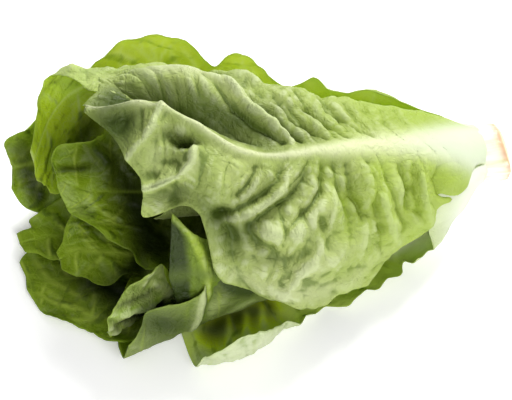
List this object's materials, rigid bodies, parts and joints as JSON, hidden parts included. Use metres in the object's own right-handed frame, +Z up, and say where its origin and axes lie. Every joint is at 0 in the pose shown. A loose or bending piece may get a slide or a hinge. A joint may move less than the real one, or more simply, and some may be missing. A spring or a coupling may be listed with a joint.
{
  "type": "romaine lettuce head",
  "caption": "Head of romaine lettuce lying on its side: long leaves with broad pale midribs round a cut stem, opening at the tip end into folded and curled leaves.",
  "frame": {"origin": "on the surface that the head lies on, below the middle of its bounding box", "axes": "+X along the head from its leaf tips towards the cut end of the stem, +Z up, -Y towards the side with the large front leaf"},
  "size_m": [0.2766, 0.1812, 0.1156],
  "materials": {
    "stem": "moist matt flesh, white to pale green, browned at the cut's rim",
    "outer_leaf": "matt grey-green outside, glossier yellow-green inside, pale veins and midrib",
    "middle_leaf": "satin yellow-green with a fine net of pale veins",
    "heart_leaf": "satin pale yellow-green"
  },
  "bodies": {
    "root": {"stem_core": "stem", "outer_leaf_front": "outer_leaf", "outer_leaf_back": "outer_leaf", "outer_leaf_underneath": "outer_leaf", "outer_leaf_top": "outer_leaf", "outer_leaf_far": "outer_leaf", "outer_leaf_floor": "outer_leaf", "front_leaf_folded": "outer_leaf", "front_leaf_curled": "middle_leaf", "small_leaf_far": "middle_leaf", "middle_leaf_front": "middle_leaf", "middle_leaf_top": "middle_leaf", "middle_leaf_back": "middle_leaf", "middle_leaf_floor": "middle_leaf", "middle_leaf_near": "middle_leaf", "heart_leaf_open": "heart_leaf", "heart_leaf_1": "heart_leaf", "heart_leaf_2": "heart_leaf", "heart_leaf_3": "heart_leaf", "heart_leaf_4": "heart_leaf", "heart_leaf_5": "heart_leaf", "heart_leaf_6": "heart_leaf"}
  },
  "joints": []
}
